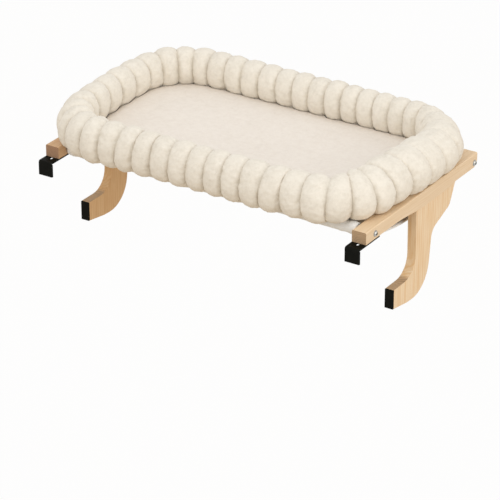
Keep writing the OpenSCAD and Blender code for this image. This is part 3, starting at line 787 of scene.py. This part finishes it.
def inflate(piece, pinned, pressure, slack, cap, frames):
    """Runs the cloth solver on a piece whose pinned points stay, and keeps the result as its shape."""
    begin = places(piece.data)
    group = piece.vertex_groups.new(name="pins")
    group.add(np.flatnonzero(pinned).tolist(), 1.0, "REPLACE")
    cloth = piece.modifiers.new("stuffing", "CLOTH")
    cloth.collision_settings.use_collision = False
    settings = cloth.settings
    settings.quality = 5
    settings.tension_stiffness = settings.compression_stiffness = CLOTH_STIFFNESS
    settings.bending_stiffness = 0.3
    settings.shrink_min = -slack
    settings.use_pressure = True
    settings.uniform_pressure_force = pressure
    settings.vertex_group_mass = "pins"
    settings.effector_weights.gravity = 0
    cloth.point_cache.frame_end = frames
    for frame_number in range(1, frames + 1):
        scene.frame_set(frame_number)
    seen = piece.evaluated_get(bpy.context.evaluated_depsgraph_get())
    moved = places(seen.data) - begin
    length = np.linalg.norm(moved, axis=1, keepdims=True)
    soft = cap * np.tanh(length / cap) / np.maximum(length, 1e-9)
    piece.modifiers.clear()
    piece.vertex_groups.clear()
    scene.frame_set(1)
    set_places(piece.data, begin + moved * soft)
    print(piece.name, "swelled by", round(float(length.mean()) / MM, 2), "mm on average")


seam_pins = np.repeat(np.abs(2 * share_of - 1) > 0.999, AROUND)
inflate(rim, seam_pins, pressure=4.0, slack=0.03, cap=3.0 * MM, frames=20)

# %% Seat the rim
swollen = seat(rim)
# Painted shade in the seams, as the fold attribute: less on the crest and at the loose right end.
in_seam = np.clip(1 - (1 - np.abs(2 * share_of - 1)) / 0.12, 0, 1)
on_top = np.clip((swollen[:, 2].reshape(-1, AROUND) - RIM_Z) / (RIM_H / 2), 0, 1)
in_seam = in_seam * (1 - 0.65 * loose)
attach(rim.data, "fold", (in_seam[:, None] * (1 - 0.8 * on_top ** 2)).ravel())
smoother = rim.modifiers.new("smooth", "SUBSURF")
smoother.levels = smoother.render_levels = 1
plain_mesh(rim)

# %% [markdown]
# ## Tufts
#
# The hairs of real plush cling together in tufts a few millimetres wide, which break up the
# cushion's outline. Bumps in a finish leave an outline smooth, so here the surface itself moves: a
# noise pushes each point out or in along its normal. Strands of hair would be truer, but far too
# many.

# %% Tufts
TUFT_SIZE = 6 * MM
TUFT_DEPTH = 3.6 * MM

nap = Recipe("tufts", PerMetre=1 / TUFT_SIZE, Depth=TUFT_DEPTH, Material=rim_plush)
here = nap.add("GeometryNodeInputPosition")
lumps = nap.add("ShaderNodeTexNoise",
                {"Vector": here, "Scale": nap.inputs["PerMetre"], "Detail": 2.0, "Roughness": 0.6})
outward = nap.add("GeometryNodeInputNormal")
rise = (lumps - 0.5) * nap.inputs["Depth"]
lift = nap.add("ShaderNodeVectorMath", {0: outward, 3: rise}, operation="SCALE")
nap.finish(nap.add("GeometryNodeSetPosition", {"Geometry": nap.geometry, "Offset": lift}))
nap.bake(rim)
seated = seat(rim)
print("rim:", len(rim.data.polygons), "faces, box", seated.min(0).round(4), seated.max(0).round(4))
finished(rim, "frame", ["front_bolster", "rear_bolster", "left_bolster", "right_bolster"])

# %% [markdown]
# ## The sling
#
# The sling is a strip of strong cloth. Its front and rear ends are turned over a steel tube and
# sewn down as sleeves, and the cloth hangs between the tubes in a shallow curve. It is built along
# that path, from the seam over the front tube, down and back, and over the rear tube.

# %% Sling path
CLOTH = 1.2 * MM
SLEEVE_R = 8.9 * MM
SLEEVE_DEPTH = 30 * MM
SEAM_RISE = 0.3 * MM
SLEEVE_END = math.radians(253)
SLEEVE_STEPS, FLAP_STEPS, WEB_STEPS = 26, 8, 52
SAG = 35 * MM
SLING_HALF = 0.2706
FOLD_HEIGHT, FOLD_PITCH = 1.4 * MM, 19.6 * MM
FOLDS_TO, FOLDS_FADE = 45 * MM, 60 * MM
WEB_MID = (TUBE_FRONT[0] + TUBE_REAR[0]) / 2
WEB_HALF = (TUBE_REAR[0] - TUBE_FRONT[0]) / 2


def web_z(y):
    """Height of the hanging cloth at a distance y from the wall."""
    t = (y - WEB_MID) / WEB_HALF
    chord = (TUBE_FRONT[1] + TUBE_REAR[1]) / 2 + t * (TUBE_REAR[1] - TUBE_FRONT[1]) / 2
    return chord - SLEEVE_R - SAG * (1 - t * t)


def sleeve(tube, toward, grow):
    """The cloth's middle line from its seam over a tube to its underside."""
    r = SLEEVE_R + grow
    seam_y = tube[0] + toward * SLEEVE_DEPTH
    seam = np.array([toward * (seam_y - tube[0]), web_z(seam_y) + CLOTH + SEAM_RISE - tube[1]])
    start = math.atan2(seam[1], seam[0]) + math.acos(r / np.hypot(*seam))
    turn = np.linspace(start, SLEEVE_END, SLEEVE_STEPS)
    arc = np.c_[tube[0] + toward * r * np.cos(turn), tube[1] + r * np.sin(turn)]
    flap = np.linspace(0, 1, FLAP_STEPS)[:-1, None]
    seam_point = np.array([[tube[0] + toward * seam[0], tube[1] + seam[1]]])
    return np.r_[seam_point * (1 - flap) + arc[:1] * flap, arc]


def gather(inset):
    """Height of the little folds that bunch up beside the arms."""
    wave = np.sin(math.pi * inset / FOLD_PITCH) ** 2
    return np.where(inset < FOLDS_TO, FOLD_HEIGHT * wave * (1 - inset / FOLDS_FADE), 0.0)


def sling_line(x):
    """The cloth's middle line from front to rear at a distance x along the window."""
    fold = float(gather(SLING_HALF - abs(x)))
    lead = SLEEVE_R * 0.8
    share = np.linspace(0, 1, WEB_STEPS)
    y = TUBE_FRONT[0] + lead + (2 * WEB_HALF - 2 * lead) * share
    web = np.c_[y, web_z(y) - fold * np.sin(math.pi * share)]
    line = np.r_[sleeve(TUBE_FRONT, 1, fold), web, sleeve(TUBE_REAR, -1, fold)[::-1]]
    return np.c_[np.full(len(line), x), line]


edge_steps = np.linspace(0, FOLDS_FADE, 31)
inner_steps = np.linspace(FOLDS_FADE, SLING_HALF, 30)[1:-1]
insets = np.r_[edge_steps, inner_steps]
sling_x = np.r_[-(SLING_HALF - insets), 0.0, (SLING_HALF - insets)[::-1]]
lines = np.array([sling_line(x) for x in sling_x])
line_steps = np.linalg.norm(np.diff(lines[len(lines) // 2], axis=0), axis=1)

# %% Grid meshes with a cloth map
def grid_mesh(name, points, u, v):
    """A grid of points as quads, with a map in metres called cloth."""
    rows, columns = points.shape[:2]
    index = np.arange(rows * columns).reshape(rows, columns)
    faces = np.stack([index[:-1, :-1], index[:-1, 1:], index[1:, 1:], index[1:, :-1]], -1).reshape(-1, 4)
    piece = skin(name, points, faces.tolist())
    layer = piece.data.uv_layers.new(name="cloth")
    spread = np.stack(np.broadcast_arrays(u, v), -1).reshape(-1, 2)
    layer.data.foreach_set("uv", spread[faces.ravel()].astype(np.float32).ravel())
    return piece


def solid_cloth(piece, thickness, material):
    """Gives a sheet its thickness, half on each side of its middle, and its cloth."""
    thick = piece.modifiers.new("thickness", "SOLIDIFY")
    thick.thickness = thickness
    thick.offset = 0
    plain_mesh(piece)
    piece.data.materials.append(material)


# %% Woven cloth
def woven(name, thread, shade, pitch):
    """Plain weave: threads over and under each other at a pitch, read from the cloth's map."""
    cloth = Finish(name)
    u, v = cloth.axes(cloth.add("ShaderNodeUVMap", uv_map="cloth"))[:2]
    warp, weft = [way.maths("SINE", way * (math.pi / pitch)) for way in (u, v)]
    height = warp * weft * 0.5 + 0.5
    slub = cloth.noise(14 * MM, detail=3)
    fuzz = cloth.noise(0.8 * MM, detail=3)
    tone = cloth.mix(cloth.between(height * 0.35 + slub * 0.5 + fuzz * 0.3, 0.2, 1.0), shade, thread)
    return cloth.surface(tone, 0.9, height=height * 0.7 + fuzz * 0.3, depth=0.22 * MM,
                         Specular_IOR_Level=0.15, Sheen_Weight=0.12, Sheen_Roughness=0.5)


sling_cloth = woven("sling_cloth", (0.93, 0.93, 0.91), (0.80, 0.79, 0.76), 0.9 * MM)

# %% Sling piece
cloth_v = np.r_[0, np.cumsum(line_steps)]
sling = grid_mesh("sling_sheet", lines, sling_x[:, None], cloth_v[None, :])
solid_cloth(sling, CLOTH, sling_cloth)
finished(sling, "frame", ["sling"])
print("sling:", len(sling.data.polygons), "faces")

# %% [markdown]
# ## Side hems
#
# The sling's side edges are folded over twice, because a raw edge would fray. Each hem is a strip
# that wraps the edge: out along the top, round, and back underneath. It follows the hanging curve,
# and its round outer face is what the light from the side catches under the arms.

# %% Side hems
HEM = 11 * MM
HEM_HALF = 1.9 * MM
HEM_STEPS = 64
HEM_RUN = 5

hem_turn = np.linspace(math.pi / 2, -math.pi / 2, 9)[1:-1]
run_out = np.linspace(HEM, HEM_HALF, HEM_RUN)
hem_inset = np.r_[run_out, HEM_HALF - HEM_HALF * np.cos(hem_turn), run_out[::-1]]
hem_rise = np.r_[np.full(HEM_RUN, HEM_HALF), HEM_HALF * np.sin(hem_turn), np.full(HEM_RUN, -HEM_HALF)]
hem_y = np.linspace(TUBE_FRONT[0] + 12 * MM, TUBE_REAR[0] - 12 * MM, HEM_STEPS)
slope = np.gradient(web_z(hem_y), hem_y)
hem_normal = np.c_[-slope, np.ones(HEM_STEPS)] / np.sqrt(1 + slope ** 2)[:, None]
hem_v = np.r_[0, np.cumsum(np.hypot(np.diff(hem_inset), np.diff(hem_rise)))]
for side, name in ((-1, "left_hem"), (1, "right_hem")):
    hem_x = side * (SLING_HALF + 0.4 * MM - hem_inset)
    strip = np.stack([np.broadcast_to(hem_x, (HEM_STEPS, len(hem_inset))),
                      hem_y[:, None] + hem_normal[:, :1] * hem_rise,
                      web_z(hem_y)[:, None] + hem_normal[:, 1:] * hem_rise], -1)
    if side > 0:
        strip = strip[::-1]
    hem = grid_mesh(name, strip, hem_y[:, None], hem_v[None, :])
    solid_cloth(hem, 1.0 * MM, sling_cloth)
    finished(hem, "frame", [])

# %% [markdown]
# ## Stitches
#
# A lock stitch shows as a row of short, fat dashes that dip into the cloth at both ends. Hundreds of
# them follow one rule, so Geometry Nodes sets them: each seam line is cut into equal
# lengths, and every cut gets a stretched ball along the line. The seams are the two sleeves' and the
# two hems', on the cloth's upper side and on its underside.

# %% Thread
thread = Finish("sewing_thread")
twist = thread.noise(0.5 * MM, detail=2)
thread_tone = thread.mix(twist, (0.80, 0.755, 0.685), (0.64, 0.59, 0.52))
sewing_thread = thread.surface(thread_tone, 0.75, height=twist, depth=0.05 * MM, Sheen_Weight=0.1)

# %% Seam lines
SLEEVE_SEAM_STEPS = 90
SLEEVE_SEAM_HALF = SLING_HALF - 14 * MM
HEM_SEAM_X = SLING_HALF - 8.5 * MM
HEM_SEAM_RISE = HEM_HALF + 0.5 * MM

seam_lines = []
for tube, toward in ((TUBE_FRONT, 1), (TUBE_REAR, -1)):
    y = tube[0] + toward * (SLEEVE_DEPTH - 3 * MM)
    x = np.linspace(-SLEEVE_SEAM_HALF, SLEEVE_SEAM_HALF, SLEEVE_SEAM_STEPS)
    dip = gather(SLING_HALF - np.abs(x)) * math.sin(math.pi * (SLEEVE_DEPTH / (2 * WEB_HALF)))
    for rise in (CLOTH * 1.5 + SEAM_RISE, -CLOTH / 2):
        seam_lines.append(np.c_[x, np.full(SLEEVE_SEAM_STEPS, y), web_z(y) + rise - dip])
for side in (-1, 1):
    for rise in (HEM_SEAM_RISE, -HEM_SEAM_RISE):
        seam_lines.append(np.c_[np.full(HEM_STEPS, side * HEM_SEAM_X), hem_y + hem_normal[:, 0] * rise,
                                web_z(hem_y) + hem_normal[:, 1] * rise])

# %% Set the stitches
BALL_SEGMENTS, BALL_RINGS = 8, 6

sewing = Recipe("stitches", Pitch=4.2 * MM, Length=3.3 * MM, Thickness=0.7 * MM, Material=sewing_thread)
seam_curve = sewing.add("GeometryNodeMeshToCurve", {0: sewing.geometry})
cuts = sewing.add("GeometryNodeCurveToPoints", {"Curve": seam_curve, "Length": sewing.inputs["Pitch"]},
                  mode="LENGTH")
along = Value(sewing, cuts.socket.node.outputs["Rotation"])
ball = sewing.add("GeometryNodeMeshUVSphere", {"Segments": BALL_SEGMENTS, "Rings": BALL_RINGS, "Radius": 0.5})
smooth_ball = sewing.add("GeometryNodeSetShadeSmooth", {"Geometry": ball})
thick = sewing.inputs["Thickness"]
dash = sewing.add("ShaderNodeCombineXYZ", {0: thick, 1: thick, 2: sewing.inputs["Length"]})
sewing.finish(sewing.add("GeometryNodeInstanceOnPoints",
                         {"Points": cuts, "Instance": smooth_ball, "Rotation": along, "Scale": dash}))
stitches = edge_path("sling_stitches", seam_lines, closed=False)
sewing.bake(stitches)
finished(stitches, "frame", [])
ball_points = BALL_SEGMENTS * (BALL_RINGS - 1) + 2
print("stitches:", len(stitches.data.vertices) // ball_points, "of them")

# %% [markdown]
# ## The pad
#
# The pad is a flat bag of filling in the middle of the cushion. It is sewn in between the lobes, so
# its edge follows every bulge of the rim. A plain rounded slab would leave gaps beside the seams, so
# rays cast outward from the nest find the lobes' inner faces, and the edge stays just short of them.
# The pad's middle is pressed down a little by the cat, and below it lies in the hollow of the sling.

# %% Where the lobes' inner faces are
PAD_ROUND = 768
NEAREST = 3 * MM
RAY_REACH = 75 * MM
EDGE_GAP = 0.4 * MM
EDGE_LEVELS = np.array([26.6, 28.5, 30.8, 33.2, 35.8]) * MM

rim_tree = BVHTree.FromPolygons([tuple(p) for p in seated], [tuple(f.vertices) for f in rim.data.polygons])
pad_s = np.arange(PAD_ROUND) / PAD_ROUND
pad_spine, pad_out = loop_at(pad_s * rim_length, RIM_HALF_X, RIM_HALF_Y, RIM_CORNER)
pad_spine = pad_spine + [0, RIM_Y]


def inner_face(height):
    """How far inside the rim's middle line its inner face lies at a height, station by station."""
    inset = np.empty(PAD_ROUND)
    for k in range(PAD_ROUND):
        origin = pad_spine[k] - pad_out[k] * RAY_REACH
        hit = rim_tree.ray_cast((*origin, height), (*pad_out[k], 0))[3]
        inset[k] = RAY_REACH - hit if hit is not None else 0.0
    return np.maximum(inset, NEAREST)


def soften(values, width):
    """Smooths a closed row of values over a width in stations, and never goes under them."""
    top = values.copy()
    for shift in range(-width, width + 1):
        top = np.maximum(top, np.roll(values, shift))
    weights = np.hanning(2 * width + 3)[1:-1]
    return sum(w * np.roll(top, k - width) for k, w in enumerate(weights)) / weights.sum()


edge_insets = [soften(inner_face(z), 1) + EDGE_GAP for z in EDGE_LEVELS]
for k in (2, 3, 4):
    edge_insets[k] = np.maximum(edge_insets[k], edge_insets[k - 1])
print("pad edge", [round(float(v.mean()) / MM, 1) for v in edge_insets], "mm inside the rim's middle line")

# %% Heights of the pad
PAD_TOP = 35 * MM
PAD_DIP = 5 * MM
PAD_UNDER = 25.7 * MM
PAD_EASE = 4 * MM


def pad_top(u):
    """Height of the pad's top at a share u of the way from its middle to its shoulder."""
    c = np.clip(1 - u / 0.87, 0, 1)
    return PAD_TOP - PAD_DIP * c * c * (3 - 2 * c)


def sling_top(y):
    """Height of the sling's upper side under the pad, eased where it climbs over a sleeve."""
    front = y < WEB_MID
    toward = np.where(front, 1, -1)
    tube_y = np.where(front, TUBE_FRONT[0], TUBE_REAR[0])
    tube_z = np.where(front, TUBE_FRONT[1], TUBE_REAR[1])
    e = toward * (y - tube_y)
    r = SLEEVE_R + CLOTH / 2
    seam_z = web_z(tube_y + toward * SLEEVE_DEPTH) + CLOTH + SEAM_RISE - tube_z
    a = np.arctan2(seam_z, SLEEVE_DEPTH) + np.arccos(r / np.hypot(SLEEVE_DEPTH, seam_z))
    slope = (r - (e - PAD_EASE) * np.cos(a)) / np.sin(a)
    over_web = np.maximum(tube_z + slope, web_z(y) + CLOTH / 2)
    return np.where(e > SLEEVE_DEPTH + PAD_EASE, over_web, tube_z + np.minimum(r, slope))


def pad_under(y, u):
    """Height of the pad's underside: the sling's, and curving up to the edge as u nears 1."""
    hollow = np.minimum(PAD_UNDER, sling_top(y) + 0.5 * MM)
    c = 1 - np.clip((1 - u) / 0.15, 0, 1)
    return PAD_UNDER + (hollow - PAD_UNDER) * np.sqrt(1 - c * c)


def undulation(flat):
    """Shallow, broad unevenness of the filling, from a few fixed waves."""
    waves = np.random.default_rng(7)
    height = np.zeros(len(flat))
    for _ in range(9):
        turn, phase = waves.uniform(0, math.pi), waves.uniform(0, 2 * math.pi)
        length = waves.uniform(0.07, 0.2)
        across = flat[:, 0] * math.cos(turn) + flat[:, 1] * math.sin(turn)
        height += np.cos(across * 2 * math.pi / length + phase)
    return height * 0.28 * MM


# %% Pad skin
PAD_SIZES = (SLING_HALF, 0.153, 0.075)
PAD_CENTRE = np.array([0, RIM_Y])
TOP_RINGS = 30

even_inset = soften(edge_insets[-1], 12)
shoulder = pad_spine - pad_out * (even_inset + 12 * MM)[:, None]
rings = []
for u in np.linspace(0.02, 1.0, TOP_RINGS):
    flat = PAD_CENTRE + (shoulder - PAD_CENTRE) * u
    rings.append(np.c_[flat, pad_top(u) + undulation(flat)])
# Down the edge: a height in millimetres, and how far inside the rim's middle line it lies.
e0, e1, e2, e3, e4 = edge_insets
for z, inset in ((35.0, even_inset + 8 * MM), (35.0, even_inset + 5 * MM), (35.0, even_inset + 3 * MM),
                 (34.95, even_inset + 1.2 * MM), (34.8, e4 + 0.3 * MM), (34.0, e4), (32.2, e3), (29.8, e2),
                 (28.2, e1), (27.2, e0), (26.1, e0 + 1 * MM), (25.9, np.maximum(e0 + 2 * MM, 17.6 * MM))):
    rings.append(np.c_[pad_spine - pad_out * inset[:, None], np.full(PAD_ROUND, z * MM)])
pad_loop, _ = loop_at(pad_s * loop_length(*PAD_SIZES), *PAD_SIZES)
loop_reach = np.linalg.norm(pad_loop, axis=1)
for u in np.r_[0.985, 0.97, 0.95, 0.925, 0.9, 0.875, np.linspace(0.85, 0.03, 12)]:
    last_reach = np.linalg.norm(rings[-1][:, :2] - PAD_CENTRE, axis=1)
    narrow = np.minimum(1.0, last_reach / loop_reach)
    flat = PAD_CENTRE + pad_loop * np.minimum(u, narrow * 0.998)[:, None]
    rings.append(np.c_[flat, pad_under(flat[:, 1], u)])
rings = np.array(rings)
# Quads between neighbouring rings, and one face that closes each end.
index = np.arange(len(rings) * PAD_ROUND).reshape(len(rings), PAD_ROUND)
following = np.roll(index, -1, axis=1)
walls = np.stack([index[:-1], index[1:], following[1:], following[:-1]], -1).reshape(-1, 4)
pad = skin("cushion_pad", rings, walls.tolist() + [index[0].tolist(), index[-1][::-1].tolist()])
pad.data.materials.append(pad_plush)
ring_number = np.arange(len(rings))
inflate(pad, np.repeat(ring_number >= TOP_RINGS, PAD_ROUND), pressure=0.4, slack=0.0, cap=1.5 * MM, frames=8)
# Painted shade along the pad's edge and underside, where it tucks under the lobes.
edge_shade = np.clip((ring_number - TOP_RINGS + 2) / 4, 0, 1) * 0.6
attach(pad.data, "fold", np.repeat(edge_shade, PAD_ROUND))
finished(pad, "frame", ["centre_pad"])
print("pad:", len(pad.data.polygons), "faces")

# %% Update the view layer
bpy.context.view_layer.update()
